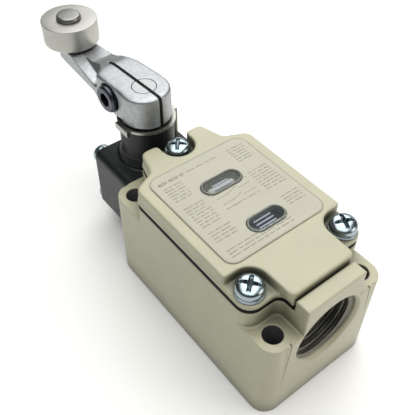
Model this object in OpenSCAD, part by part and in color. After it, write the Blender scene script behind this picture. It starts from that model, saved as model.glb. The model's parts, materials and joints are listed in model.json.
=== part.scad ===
// Limit switch with a side-rotary head and an adjustable-angle roller lever.
// It lies on its mounting face: +Z points out of the cover, +Y towards the
// head and lever, and the origin is the centre of the four mounting holes.

/* [Case] */
// Width of the case
case_w = 40; // [39.6:0.1:41]
// Length of the case
case_l = 69; // [68.6:0.1:70]
// Radius of the case's four upright corners
case_corner_r = 5; // [4:0.1:5.2]
// Height of the four mounting ears
ear_z = 30.7; // [29:0.1:31]
// Height of the case's rim, where the gasket lies
rim_z = 36.2; // [36:0.1:37]
// Thickness of the case's floor
floor_t = 4; // [3.5:0.1:4.2]
// Spacing of the mounting holes across the case
mount_pitch_x = 30.2; // [30:0.1:30.4]
// Spacing of the mounting holes along the case
mount_pitch_y = 58.7; // [58.4:0.1:58.9]
// Diameter of the mounting holes
mount_hole_d = 5.3; // [5.2:0.1:5.6]
// Major diameter of the conduit thread, whose wall the bore stands for
conduit_d = 20.955; // [20:0.005:21]
// Height of the conduit axis above the mounting face
conduit_z = 24.4; // [24:0.1:24.6]
// Height of the slab over the conduit
slab_z = 40.5; // [39:0.1:40.8]

/* [Cover] */
// Thickness of the gasket
gasket_t = 1.2; // [0.6:0.1:1.3]
// Height of the top of the cover's flange
flange_z = 39; // [38.6:0.1:39.2]
// Height of the cover's raised field
cover_z = 42.3; // [42:0.1:42.6]
// Radius of the pockets round the cover screws
pocket_r = 5; // [4.6:0.1:5.1]
// Length and width of the lamp window
lamp_window_size = [12.8, 5.6]; // [5:0.1:14]
// Distance of the lamp window from the mounting centre
lamp_window_y = 9; // [8.6:0.1:9.4]
// Length and width of the index window
index_window_size = [11.8, 5.6]; // [5:0.1:13]
// Middle of the index window, across and along the case
index_window_at = [0.8, -8.1]; // [-8.5:0.1:1]

/* [Head] */
// Width of the head
head_w = 28; // [27:0.1:28.8]
// Lowest and highest face of the head
head_z = [6.1, 29]; // [6:0.1:29.2]
// Distance of the head's front face from the mounting centre
head_front_y = 54.7; // [54.2:0.1:55]
// Distance of the lever shaft from the mounting centre
shaft_y = 44.6; // [44.4:0.1:44.8]
// Radius of the collar round the shaft
collar_r = 8.3; // [8:0.1:8.5]
// Height of the collar's top, under the indicator plate
collar_z = 42.3; // [41:0.1:42.4]
// Radius of the lever shaft
shaft_r = 3.65; // [3.5:0.05:3.7]

/* [Lever] */
// Radius from the shaft to the roller
lever_r = 38; // [36:0.5:42]
// Angle at which the lever is clamped on its shaft
lever_angle = 3.3; // [0:0.1:10]
// Lowest and highest face of the lever's clamping hub
hub_z = [43.6, 53.4]; // [43.5:0.1:53.6]
// Radius of the clamping hub
hub_r = 7.7; // [7.4:0.1:8]
// Lowest face, side ledge and highest face of the arm
arm_z = [45.6, 48.3, 50.5]; // [45:0.1:50.6]
// Radius of the roller
roller_r = 8.75; // [8.5:0.05:8.8]
// Width of the roller
roller_w = 7.2; // [7:0.1:7.4]
// Lowest face of the roller
roller_z = 51.2; // [51.2:0.1:51.4]

/* [Mechanism] */
// Plunger travel for each radian of lever rotation
lift = 2.2; // [1.8:0.05:2.25]
// Distance from the shaft's axis to the plunger's face at rest
rest_lift = 5.6; // [5.5:0.05:5.7]

/* [Hidden] */
$fn = 64;

beige = [0.86, 0.84, 0.75];
label_beige = [0.78, 0.77, 0.69];
black_cast = [0.17, 0.19, 0.19];
cast_alloy = [0.78, 0.80, 0.81];
steel = [0.80, 0.79, 0.76];
zinc = [0.84, 0.88, 0.90];
rubber = [0.07, 0.07, 0.07];
brass = [0.80, 0.66, 0.32];
moulding = [0.16, 0.17, 0.18];

eps = 0.01;
arc_steps = 7;
fit_gap = 0.05;
ear_x = mount_pitch_x / 2;
ear_y = mount_pitch_y / 2;
end_y = case_l / 2;
rim_x = case_w / 2;
ear_edge_y = -25.2;
slab_half_w = 9.7;
slab_inner_y = -30.1;
cover_end_y = -29.6;
prong_end_y = 32.2;
prong_half_w = 10.6;
conduit_pocket_y = -25;
gasket_top = rim_z + gasket_t;
cover_wall = 2;
windows = [[[0, lamp_window_y], lamp_window_size], [index_window_at, index_window_size]];
window_wall = 0.7;
index_z = 41.2;

// Cover screws: one between the prongs at the head end, two at the corners
cover_screw_at = [[0, 28.9], [-15.77, -20.83], [15.77, -20.83]];
cover_screw_r = 1.6;
cover_tap_r = 1.65;
cover_screw_head = [3.5, 2.8];
cover_washer = [1.8, 3.85, 0.9];

// Head: four screws through it along Y, in a rectangle about its middle height
head_mid_z = (head_z[0] + head_z[1]) / 2;
head_screw_x = 10.7;
head_screw_dz = 8.2;
head_screw_head = [3.1, 2.6];
head_screw_r = 1.4;
head_gasket_t = 0.6;
head_back_y = end_y + head_gasket_t;

// Shaft, cam chamber and plunger
shaft_foot = [9, 13.4];
shaft_foot_r = 2.5;
cam_seat_r = 3;
cam_flat_y = 2.3;
cam_z = [14.2, 21.9];
chamber_r = 7.9;
chamber_top = 23.2;
bushing_r = 5.2;
bushing_top = 41;
plunger_top_y = shaft_y - rest_lift - fit_gap;
plunger_head = [4.1, 2.2];
plunger_stem_r = 2.4;
plunger_tip_y = 20.6;
guide_r = 4.4;
guide_y = [24.6, 33];

// Lever
bolt_s = 8.1;
bolt_z = 48.1;
bolt_head_t = [3.75, 8.75];
bolt_head_r = 4.15;
bolt_r = 2.4;
slit_w = 1.1;
slit_end_s = 17.6;
arm_end_r = 4.6;
ledge_s = [17, 29.5];
ledge_wall_x = -1.8;
ledge_wall_slope = 42;
pin_r = 2.5;

// Snap switch
base_x = 14.5;
base_y = [-14, 18];
base_z = [floor_t + 0.3, 24];
lid_top = 26;
strip_t = 0.8;
terminal_y = -9.5;
nc_x = 10;
no_x = 4;
nc_y = 4.8;
no_y = -0.8;
bridge_y = 2;
bridge_t = 0.8;
pin_end_y = -1;
shoulder_y = 1.1;
spring_wall_y = -5;
switch_screw_x = base_x - 1.3;
switch_screw_y = [-6.5, 17];
ground_at = [7.5, -18.4];

// ---------------------------------------------------------------- helpers

// Arc that rounds corner p of the path a, p, b to radius r
function corner(a, p, b, r) =
    let (
        u = (a - p) / norm(a - p),
        v = (b - p) / norm(b - p),
        half = acos(max(-1, min(1, u * v))) / 2
    )
    r <= 0 || half > 89.5 ? [p] :
    let (
        centre = p + (u + v) / norm(u + v) * r / sin(half),
        from = p + u * r / tan(half) - centre,
        to = p + v * r / tan(half) - centre,
        start = atan2(from[1], from[0]),
        turn = atan2(to[1], to[0]) - start,
        sweep = turn > 180 ? turn - 360 : turn < -180 ? turn + 360 : turn
    )
    [for (i = [0 : arc_steps])
        centre + r * [cos(start + sweep * i / arc_steps), sin(start + sweep * i / arc_steps)]];

// Outline through points [x, y, radius], each corner rounded to its radius
function rounded(pts) =
    let (n = len(pts), xy = [for (p = pts) [p[0], p[1]]])
    [for (i = [0 : n - 1]) each corner(xy[(i + n - 1) % n], xy[i], xy[(i + 1) % n], pts[i][2])];

// The points of the right half, then the same points mirrored to the left
function both_sides(half) =
    concat(half, [for (i = [len(half) - 1 : -1 : 0]) [-half[i][0], half[i][1], half[i][2]]]);

module prism(z0, z1) {
    translate([0, 0, z0]) linear_extrude(z1 - z0) children();
}

module tube(r_in, r_out, z0, z1) {
    prism(z0, z1) difference() {
        circle(r_out);
        circle(r_in);
    }
}

// Cylinder along +Y from y0 to y1
module rod_y(r, y0, y1, x = 0, z = 0) {
    translate([x, y0, z]) rotate([-90, 0, 0]) cylinder(r = r, h = y1 - y0);
}

module rounded_rect(w, l, r) {
    polygon(rounded([
        [w / 2, -l / 2, r], [w / 2, l / 2, r], [-w / 2, l / 2, r], [-w / 2, -l / 2, r]
    ]));
}

module stadium(l, w) {
    square([l - w, w], center = true);
    for (side = [-1, 1]) translate([side * (l - w) / 2, 0]) circle(w / 2);
}

module block(x, y, z) {
    translate([x[0], y[0], z[0]]) cube([x[1] - x[0], y[1] - y[0], z[1] - z[0]]);
}

// Closed helix of round wire along +Z, from z = 0 to height
module coil(r, wire_r, height, turns) {
    ring_steps = 14;
    sides = 8;
    rings = turns * ring_steps;
    climb = (height - 2 * wire_r) / rings;
    points = [
        for (i = [0 : rings], j = [0 : sides - 1])
        let (a = 360 * i / ring_steps, b = 360 * j / sides, q = r + wire_r * cos(b))
        [q * cos(a), q * sin(a), wire_r + climb * i + wire_r * sin(b)]
    ];
    skin = [
        for (i = [0 : rings - 1], j = [0 : sides - 1])
        let (k = (j + 1) % sides)
        [i * sides + j, i * sides + k, (i + 1) * sides + k, (i + 1) * sides + j]
    ];
    start_cap = [[for (j = [sides - 1 : -1 : 0]) j]];
    end_cap = [[for (j = [0 : sides - 1]) rings * sides + j]];
    polyhedron(points, concat(skin, start_cap, end_cap));
}

// Pan-head screw standing on z = 0, its shank below, with a cross recess
module pan_screw(r, length, head_r, head_h) {
    slot = [head_r * 1.15, head_r * 0.24, head_h * 0.55];
    difference() {
        union() {
            rotate_extrude() polygon([
                [0, 0], [head_r, 0], [head_r, head_h * 0.55],
                [head_r * 0.86, head_h * 0.86], [head_r * 0.6, head_h], [0, head_h]
            ]);
            translate([0, 0, -length]) cylinder(r = r, h = length + eps);
        }
        for (turn = [0, 90])
            rotate([0, 0, turn]) translate([0, 0, head_h]) cube(
                [slot[0], slot[1], slot[2] * 2], center = true);
    }
}

// ------------------------------------------------------------------- case

// Outline of the case's rim, its gasket and the cover's flange
module rim_outline(inset = 0, slab_end = cover_end_y) {
    polygon(rounded(both_sides([
        [slab_half_w - inset, slab_end + inset, 0],
        [slab_half_w - inset, ear_edge_y + inset, 2.2],
        [rim_x - inset, ear_edge_y + inset, 4.2],
        [rim_x - inset, 21 - inset, 3.2],
        [prong_half_w + 2.2 - inset, 24.2 - inset, 3],
        [prong_half_w - inset, prong_end_y - inset, 1.6]
    ])));
}

// Outline of the space inside the case, clear of the screw bosses
module cavity_outline(grow = 0) {
    polygon(rounded(both_sides([
        [11.3 + grow, -22.4 - grow, 1],
        [11.3 + grow, -16.2 - grow, 2.5],
        [17.3 + grow, -16.2 - grow, 1],
        [17.3 + grow, 18.4 + grow, 2],
        [9 + grow, 21.6 + grow, 2],
        [7.6 + grow, 24.2 + grow, 1]
    ])));
}

module conduit_bore() {
    chamfer = 0.8;
    r = conduit_d / 2;
    rod_y(r, -end_y - eps, conduit_pocket_y + 1, z = conduit_z);
    translate([0, -end_y, conduit_z]) rotate([90, 0, 0]) rotate_extrude() polygon([
        [0, -chamfer], [r, -chamfer], [r + chamfer, 0], [r + chamfer, eps], [0, eps]
    ]);
}

// Shallow wedge that leaves the machined end face proud of each corner
module corner_relief() {
    depth = 0.35;
    fade_z = 12;
    for (side = [-1, 1], end = [-1, 1])
        translate([side < 0 ? -rim_x - eps : 14.5, 0, 0])
            rotate([90, 0, 90]) linear_extrude(rim_x - 14.5 + eps) polygon([
                [end * (end_y - depth), ear_z + eps], [end * (end_y + 1), ear_z + eps],
                [end * (end_y + 1), fade_z], [end * end_y, fade_z]
            ]);
}

module body_case() {
    tap_depth = 9;
    color(beige) difference() {
        union() {
            prism(0, ear_z) rounded_rect(case_w, case_l, case_corner_r);
            prism(ear_z - eps, rim_z) rim_outline(slab_end = -end_y);
            block([-slab_half_w, slab_half_w], [-end_y, slab_inner_y], [ear_z - eps, slab_z]);
        }
        corner_relief();
        prism(floor_t, rim_z + eps) cavity_outline();
        block([-11.6, 11.6], [conduit_pocket_y, -15], [12.5, 29.6]);
        block([-8.6, 8.6], [conduit_pocket_y, -20], [29, 35.4]);
        conduit_bore();
        for (x = [-ear_x, ear_x], y = [-ear_y, ear_y])
            translate([x, y, -eps]) cylinder(r = mount_hole_d / 2, h = ear_z + 2 * eps);
        for (p = cover_screw_at)
            translate([p[0], p[1], rim_z - tap_depth]) cylinder(r = cover_tap_r, h = tap_depth + eps);
        rod_y(guide_r + fit_gap, 24.2 - eps, end_y + eps, z = head_mid_z);
        for (x = [-1, 1], z = [-1, 1])
            rod_y(head_screw_r + fit_gap, 27, end_y + eps, x * head_screw_x,
                  head_mid_z + z * head_screw_dz);
        translate([ground_at[0], ground_at[1], floor_t - 2.5])
            cylinder(r = cover_tap_r, h = 2.5 + eps);
        prism(-eps, 1) rounded_rect(26, 44, 3);
    }
}

module cover_gasket() {
    color(rubber) prism(rim_z, gasket_top) difference() {
        rim_outline(0.1);
        cavity_outline(0.4);
        for (p = cover_screw_at) translate(p) circle(cover_screw_r + 0.3);
    }
}

// ------------------------------------------------------------------ cover

// Raised field of the cover: the whole width, less a round pocket at each screw
module field_outline() {
    side_x = rim_x - 0.3;
    at = cover_screw_at;
    polygon(rounded(both_sides([
        [at[2][0] - pocket_r - 0.4, cover_end_y, 1.6],
        [at[2][0] - pocket_r, at[2][1] + pocket_r, pocket_r],
        [side_x, at[2][1] + pocket_r, 1],
        [side_x, 20.8, 3],
        [prong_half_w + 2, 24, 3],
        [prong_half_w - 0.2, prong_end_y - 0.2, 1.8],
        [pocket_r, prong_end_y - 0.2, 1.2],
        [pocket_r, at[0][1] - pocket_r, pocket_r - eps]
    ])));
}

module window_holes(grow) {
    for (w = windows) translate(w[0]) stadium(w[1][0] + grow, w[1][1] + grow);
}

module cover() {
    color(beige) difference() {
        union() {
            prism(gasket_top, flange_z) rim_outline();
            prism(flange_z - eps, cover_z) field_outline();
        }
        prism(gasket_top - eps, cover_z - cover_wall) cavity_outline(-1);
        prism(cover_z - cover_wall - eps, cover_z + eps) window_holes(2 * fit_gap);
        for (p = cover_screw_at)
            translate([p[0], p[1], gasket_top - eps]) cylinder(r = 2.15, h = 3);
    }
}

module cover_screws() {
    color(zinc) for (i = [0 : 2])
        translate([cover_screw_at[i][0], cover_screw_at[i][1], flange_z + cover_washer[2]])
            rotate([0, 0, [42, 20, 10][i]])
                pan_screw(cover_screw_r, 10, cover_screw_head[0], cover_screw_head[1]);
}

module cover_washers() {
    color(zinc) for (p = cover_screw_at) translate([p[0], p[1], flange_z])
        tube(cover_washer[0], cover_washer[1], 0, cover_washer[2]);
}

module name_plate() {
    color(label_beige) prism(cover_z, cover_z + 0.25) difference() {
        translate([0, 3.25]) rounded_rect(32.5, 35.6, 3.6);
        window_holes(0.3);
    }
}

// Clear cap that fills a window from below, with a flange under the cover
module window_cap(window) {
    size = window[1];
    lip = 2.2;
    lip_t = 1;
    proud = 0.75;
    under = cover_z - cover_wall;
    translate(window[0]) difference() {
        union() {
            prism(under - lip_t, under) stadium(size[0] + lip, size[1] + lip);
            prism(under - eps, cover_z + proud) stadium(size[0], size[1]);
        }
        prism(under - lip_t - eps, cover_z + proud - window_wall)
            stadium(size[0] - 2 * window_wall, size[1] - 2 * window_wall);
    }
}

module lamp_window() {
    color([0.85, 0.88, 0.88, 0.5]) window_cap(windows[0]);
}

module index_window() {
    color([0.85, 0.88, 0.88, 0.5]) window_cap(windows[1]);
}

// --------------------------------------------------------- indicator lamp

module lamp_holder() {
    top = 38.9;
    color(moulding) difference() {
        union() {
            prism(34, top) translate([0, 1]) rounded_rect(17, 26, 2);
            for (x = [-1, 1]) {
                translate([x * 4.2 - 0.6, lamp_window_y - 1.2, top - eps]) cube([1.2, 2.4, 1.6]);
                translate([x * 6.6, 0.45, top - eps])
                    cylinder(r = 1.2, h = cover_z - cover_wall - top);
            }
            prism(top - eps, index_z) translate(index_window_at) stadium(
                index_window_size[0] - 2 * window_wall - 0.3,
                index_window_size[1] - 2 * window_wall - 0.3);
        }
        translate([-5, lamp_window_y, 40.4]) rotate([0, 90, 0]) cylinder(r = 1.2, h = 10);
        for (x = [-1, 1]) translate([x * 6, lamp_window_y, 34 - eps])
            cylinder(r = 2, h = 2);
    }
}

module lamp() {
    r = 1.15;
    half = 3.4;
    color([0.95, 0.93, 0.9, 0.7]) translate([0, lamp_window_y, 40.4]) {
        translate([-half, 0, 0]) rotate([0, 90, 0]) cylinder(r = r, h = 2 * half, $fn = 32);
        for (x = [-1, 1]) translate([x * half, 0, 0]) sphere(r, $fn = 32);
    }
}

module lamp_springs() {
    color(steel) for (x = [-1, 1])
        translate([x * 6, lamp_window_y, lid_top]) coil(1.45, 0.25, 36 - lid_top, 7);
}

module index_bars() {
    bar = [7, 0.5, 0.25];
    pitch = 1.2;
    color("white") translate([index_window_at[0], index_window_at[1] + 0.4, index_z])
        for (i = [-1 : 1]) translate([-bar[0] / 2, i * pitch - bar[1] / 2, 0]) cube(bar);
}

// ------------------------------------------------------------ snap switch

module switch_base() {
    color(moulding) difference() {
        block([-base_x, base_x], base_y, base_z);
        block([-12.6, 12.6], [spring_wall_y, 16], [6, base_z[1] + eps]);
        rod_y(2 + fit_gap, 15, base_y[1] + eps, z = head_mid_z);
        for (x = [-nc_x, -no_x, no_x, nc_x])
            translate([x, terminal_y, 17]) cylinder(r = 1.25, h = 8);
        for (x = [-1, 1], y = switch_screw_y)
            translate([x * switch_screw_x, y, 16]) cylinder(r = 0.75, h = 9);
    }
}

module switch_lid() {
    rib_h = 4.4;
    color(moulding) difference() {
        union() {
            block([-base_x, base_x], base_y, [base_z[1], lid_top]);
            for (x = [-7, 0, 7])
                block([x - 0.4, x + 0.4], [base_y[0], -4.5], [lid_top - eps, lid_top + rib_h]);
        }
        for (x = [-nc_x, -no_x, no_x, nc_x])
            translate([x, terminal_y, base_z[1] - eps]) cylinder(r = 1.3, h = 3);
        for (x = [-1, 1]) {
            block([x * nc_x - 1.7, x * nc_x + 1.7], [nc_y - 0.1, nc_y + strip_t + 0.1],
                  [base_z[1] - eps, lid_top + eps]);
            block([x * no_x - 1.7, x * no_x + 1.7], [no_y - 0.1, no_y + strip_t + 0.1],
                  [base_z[1] - eps, lid_top + eps]);
        }
        for (x = [-1, 1], y = switch_screw_y)
            translate([x * switch_screw_x, y, base_z[1] - eps]) cylinder(r = 0.8, h = 3);
    }
}

module switch_screws() {
    color(zinc) for (x = [-1, 1], y = switch_screw_y)
        translate([x * switch_screw_x, y, lid_top]) pan_screw(0.7, 9, 1.25, 0.9);
}

// Terminal strip on the lid whose riser passes down to the contact
module contact(x, y) {
    half_w = 1.6;
    button_y = y > bridge_y ? y : y + strip_t;
    reach = y > bridge_y ? -1 : 1;
    translate([x, 0, 0]) difference() {
        union() {
            block([-half_w, half_w], [-13, y + strip_t], [lid_top, lid_top + strip_t]);
            block([-half_w, half_w], [y, y + strip_t], [15, lid_top + eps]);
            rod_y(1.2, min(button_y, button_y + reach * 0.15),
                  max(button_y, button_y + reach * 0.15), z = head_mid_z);
        }
        translate([0, terminal_y, lid_top - eps]) cylinder(r = 1.35, h = 1);
    }
}

module nc_contacts() {
    color(brass) for (x = [-nc_x, nc_x]) contact(x, nc_y);
}

module no_contacts() {
    color(brass) for (x = [-no_x, no_x]) contact(x, no_y);
}

module terminal_washers() {
    color(zinc) for (x = [-nc_x, -no_x, no_x, nc_x])
        translate([x, terminal_y, lid_top + strip_t]) difference() {
            translate([-2.3, -2.3, 0]) cube([4.6, 4.6, 0.6]);
            translate([0, 0, -eps]) cylinder(r = 1.3, h = 1);
        }
}

module terminal_screws() {
    color(zinc) for (x = [-nc_x, -no_x, no_x, nc_x])
        translate([x, terminal_y, lid_top + strip_t + 0.6]) pan_screw(1.2, 9, 2.2, 1.6);
}

module ground_screw() {
    color(zinc) translate([ground_at[0], ground_at[1], floor_t])
        pan_screw(cover_screw_r, 2.3, 3, 2);
}

module contact_spring() {
    color(steel) translate([0, spring_wall_y + 0.02, head_mid_z]) rotate([-90, 0, 0])
        coil(1.5, 0.2, shoulder_y - spring_wall_y - 0.04, 6);
}

module switch_pin() {
    color([0.75, 0.2, 0.16]) {
        rod_y(2, bridge_y + bridge_t, plunger_tip_y - fit_gap, z = head_mid_z);
        rod_y(1.2, pin_end_y, bridge_y + bridge_t + eps, z = head_mid_z);
        rod_y(1.9, shoulder_y, bridge_y, z = head_mid_z);
    }
}

module contact_bridge() {
    color(brass) difference() {
        block([-11.6, 11.6], [bridge_y + eps, bridge_y + bridge_t - eps],
              [head_mid_z - 1.7, head_mid_z + 1.7]);
        rod_y(1.2 + 0.03, 0, 5, z = head_mid_z);
    }
}

// ------------------------------------------------------------------- head

module head_outline() {
    half_h = (head_z[1] - head_z[0]) / 2;
    polygon(rounded([
        [head_w / 2, -half_h, 2.4], [head_w / 2, half_h, 2.4],
        [-head_w / 2, half_h, 2.4], [-head_w / 2, -half_h, 2.4]
    ]));
}

module head_block() {
    base_ring = [9.4, 1.1];
    color(black_cast) difference() {
        union() {
            translate([0, head_front_y, head_mid_z]) rotate([90, 0, 0])
                linear_extrude(head_front_y - head_back_y) head_outline();
            translate([0, shaft_y, 0]) {
                prism(head_z[1] - 1, collar_z) circle(collar_r);
                rotate_extrude() polygon([
                    [0, head_z[1] - 1], [base_ring[0], head_z[1] - 1],
                    [base_ring[0], head_z[1] + base_ring[1]],
                    [collar_r, head_z[1] + 3], [0, head_z[1] + 3]
                ]);
            }
        }
        translate([0, shaft_y, 0]) {
            prism(head_z[0] - eps, chamber_top) circle(chamber_r);
            prism(chamber_top - eps, collar_z + eps) circle(bushing_r + 0.02);
        }
        rod_y(plunger_head[0] + 0.2, head_back_y - eps, shaft_y, z = head_mid_z);
        for (x = [-1, 1], z = [-1, 1])
            rod_y(head_screw_r + 0.2, head_back_y - eps, head_front_y + eps, x * head_screw_x,
                  head_mid_z + z * head_screw_dz);
    }
}

module head_gasket() {
    color(rubber) translate([0, end_y, head_mid_z]) rotate([-90, 0, 0])
        linear_extrude(head_gasket_t) difference() {
            square([head_w - 1.6, head_z[1] - head_z[0] - 1.6], center = true);
            circle(guide_r + 0.2);
            for (x = [-1, 1], z = [-1, 1])
                translate([x * head_screw_x, z * head_screw_dz]) circle(head_screw_r + 0.3);
        }
}

module head_screws() {
    color(zinc) for (x = [-1, 1], z = [-1, 1])
        translate([x * head_screw_x, head_front_y, head_mid_z + z * head_screw_dz])
            rotate([-90, 0, 0])
                pan_screw(head_screw_r, 26.4, head_screw_head[0], head_screw_head[1]);
}

module bearing_cap() {
    color(black_cast) translate([0, shaft_y, 0]) difference() {
        prism(head_z[0] + 0.3, 11.4) circle(chamber_r - 0.03);
        prism(shaft_foot[0] - 0.1, 12) circle(shaft_foot_r + fit_gap);
    }
}

module shaft_bushing() {
    color([0.72, 0.60, 0.38]) translate([0, shaft_y, 0])
        tube(shaft_r + fit_gap, bushing_r, chamber_top + 0.1, bushing_top);
}

module shaft_seal() {
    color(rubber) translate([0, shaft_y, 0])
        tube(shaft_r + fit_gap, bushing_r, bushing_top, collar_z);
}

// Pressed plate with a short lug on one side and a leg down the collar on the other
module indicator_plate() {
    t = 0.8;
    lug_x = 9.3;
    lug_y = [shaft_y - 3.7, shaft_y + 2.6];
    leg_y = [shaft_y - 2.8, shaft_y - 1];
    lug_foot_z = collar_z - 1.1;
    leg_foot_z = 31.5;
    color(steel) {
        prism(collar_z, collar_z + t) difference() {
            union() {
                translate([0, shaft_y]) circle(8.8);
                translate([-lug_x, lug_y[0]]) square([lug_x, lug_y[1] - lug_y[0]]);
                translate([0, leg_y[0]]) square([lug_x, leg_y[1] - leg_y[0]]);
            }
            translate([0, shaft_y]) circle(4.3);
        }
        block([-lug_x, -lug_x + t], lug_y, [lug_foot_z, collar_z + eps]);
        block([lug_x - t, lug_x], leg_y, [leg_foot_z, collar_z + eps]);
    }
}

module dust_washer() {
    color(rubber) translate([0, shaft_y, 0])
        tube(shaft_r + fit_gap, 7.2, collar_z + 0.8, hub_z[0] - 0.08);
}

// ---------------------------------------------------------------- plunger

module plunger_guide() {
    groove = [3.6, 29.6, 31];
    color([0.72, 0.60, 0.38]) difference() {
        rod_y(guide_r, guide_y[0], guide_y[1], z = head_mid_z);
        rod_y(plunger_stem_r + fit_gap, guide_y[0] - 1, guide_y[1] + 1, z = head_mid_z);
        rod_y(groove[0], groove[1], groove[2], z = head_mid_z);
    }
}

module plunger_seal() {
    color(rubber) difference() {
        rod_y(3.55, 29.7, 30.9, z = head_mid_z);
        rod_y(plunger_stem_r + fit_gap, 29, 32, z = head_mid_z);
    }
}

module return_spring() {
    under_head = plunger_top_y - plunger_head[1];
    color(steel) translate([0, guide_y[1] + 0.02, head_mid_z]) rotate([-90, 0, 0])
        coil(3.3, 0.3, under_head - guide_y[1] - 0.04, 4);
}

module operating_plunger() {
    color(steel) {
        rod_y(plunger_head[0], plunger_top_y - plunger_head[1], plunger_top_y, z = head_mid_z);
        rod_y(plunger_stem_r, plunger_tip_y, plunger_top_y - plunger_head[1] + eps, z = head_mid_z);
    }
}

// -------------------------------------------------------- shaft and lever

// Places what is drawn at the origin on the shaft, turned to the lever's angle
module on_shaft() {
    translate([0, shaft_y, 0]) rotate([0, 0, lever_angle]) children();
}

// Shaft seat for the cam: a circle with one flat
module cam_seat(gap = 0) {
    difference() {
        circle(cam_seat_r + gap);
        translate([-5, cam_flat_y + gap]) square([10, 5]);
    }
}

module rotary_shaft() {
    edge = 0.4;
    slot_depth = 2.5;
    color(steel) difference() {
        translate([0, shaft_y, 0]) {
            prism(shaft_foot[0], shaft_foot[1] + eps) circle(shaft_foot_r);
            prism(shaft_foot[1], chamber_top) cam_seat();
            prism(chamber_top - eps, hub_z[1] - edge) circle(shaft_r);
            translate([0, 0, hub_z[1] - edge - eps]) rotate_extrude() polygon([
                [0, 0], [shaft_r, 0], [shaft_r - edge / 2, edge], [0, edge]
            ]);
        }
        on_shaft() prism(hub_z[1] - slot_depth, hub_z[1] + 1)
            square([slit_w, 3 * shaft_r], center = true);
    }
}

// Cam whose flat-faced follower is lifted evenly: an involute of radius lift
module cam() {
    reach = 46;
    steps = 20;
    involute = [
        for (i = [0 : steps])
        let (
            turn = -reach + 2 * reach * i / steps,
            a = -90 + turn,
            h = rest_lift - lift * turn * PI / 180
        )
        h * [cos(a), sin(a)] - lift * [-sin(a), cos(a)]
    ];
    hub_arc = [
        for (a = [0 : 20 : 200])
        4.4 * [cos(a), sin(a)]
    ];
    color([0.55, 0.56, 0.56]) translate([0, shaft_y, 0]) prism(cam_z[0], cam_z[1]) difference() {
        polygon(concat(involute, hub_arc));
        cam_seat(0.02);
    }
}

module retaining_ring() {
    color(steel) translate([0, shaft_y, 0])
        tube(shaft_foot_r + 0.02, 4.4, shaft_foot[1] - 0.8, shaft_foot[1] - 0.05);
}

// Lever in plan, drawn along +Y from the shaft. Its left side is wider where
// the ledge runs along the arm.
module lever_plan() {
    circle(hub_r);
    polygon(rounded([
        [7.5, -1, 0], [7.7, 3, 1], [7.2, 12, 4], [5.7, 17.5, 5], [5.2, 26, 5],
        [arm_end_r, lever_r, 0], [-arm_end_r, lever_r, 0],
        [-5.6, 29, 6], [-6.9, 17, 4], [-7.4, 12.5, 3], [-7.4, 3, 3], [-7.5, -1, 0]
    ]));
    translate([0, lever_r]) circle(arm_end_r);
}

// Outline of the strip along the arm's left side where the ledge is open above
module ledge_plan() {
    polygon(rounded([
        [-12, 14.2, 0], [-6.2, 14.6, 2.5], [-3.4, 17.4, 2], [ledge_wall_x, 20, 3],
        [ledge_wall_x + 0.2, 29, 2], [-3.4, 32.4, 0.8], [-12, 33.4, 0]
    ]));
}

// What rises above the ledge, with a sloping wall beside the open strip
module rib() {
    reach = 40;
    difference() {
        prism(arm_z[1] - eps, hub_z[1] + 1) lever_plan();
        intersection() {
            prism(arm_z[1] - 1, hub_z[1] + 2) ledge_plan();
            translate([ledge_wall_x, 0, arm_z[2]]) rotate([0, ledge_wall_slope, 0])
                translate([-reach, 0, -reach]) cube([reach, reach, 2 * reach]);
        }
    }
}

// The lever up to its ledge, which climbs to the arm's top face near the roller
module ledge() {
    end_s = lever_r + arm_end_r + 1;
    bottom = hub_z[0] - 1;
    intersection() {
        prism(bottom, hub_z[1]) lever_plan();
        rotate([90, 0, 90]) linear_extrude(24, center = true) polygon([
            [-hub_r - 1, bottom], [end_s, bottom], [end_s, arm_z[2]],
            [ledge_s[1], arm_z[2]], [ledge_s[0], arm_z[1]], [-hub_r - 1, arm_z[1]]
        ]);
    }
}

// Outline of the lever from the side, as [distance from the shaft, height]
module lever_side() {
    end_s = lever_r + arm_end_r + 1;
    polygon([
        [-hub_r - 1, hub_z[0]], [13.5, hub_z[0]], [16.5, arm_z[0]], [end_s, arm_z[0]],
        [end_s, arm_z[2]], [23.5, arm_z[2]], [21, 51.1], [18, 52.5], [15.3, 53.3],
        [13.5, hub_z[1]],
        [-hub_r - 1, hub_z[1]]
    ]);
}

module lever_arm() {
    slit_end_r = slit_w / 2;
    color(cast_alloy) on_shaft() difference() {
        intersection() {
            union() {
                ledge();
                rib();
            }
            rotate([90, 0, 90]) linear_extrude(24, center = true) lever_side();
        }
        prism(hub_z[0] - 1, hub_z[1] + 1) circle(shaft_r + 0.02);
        prism(hub_z[0] - 1, hub_z[1] + 1) {
            translate([-slit_w / 2, -hub_r - 1]) square([slit_w, hub_r + 1 + slit_end_s]);
            translate([0, slit_end_s]) circle(slit_end_r);
        }
        translate([-bolt_head_t[0], bolt_s, bolt_z]) rotate([0, -90, 0])
            cylinder(r = bolt_head_r + 0.1, h = 6);
        translate([6, bolt_s, bolt_z]) rotate([0, -90, 0]) cylinder(r = bolt_r + 0.05, h = 12);
        translate([0, lever_r, arm_z[0] - 1]) cylinder(r = pin_r + 0.02, h = 8);
    }
}

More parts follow.
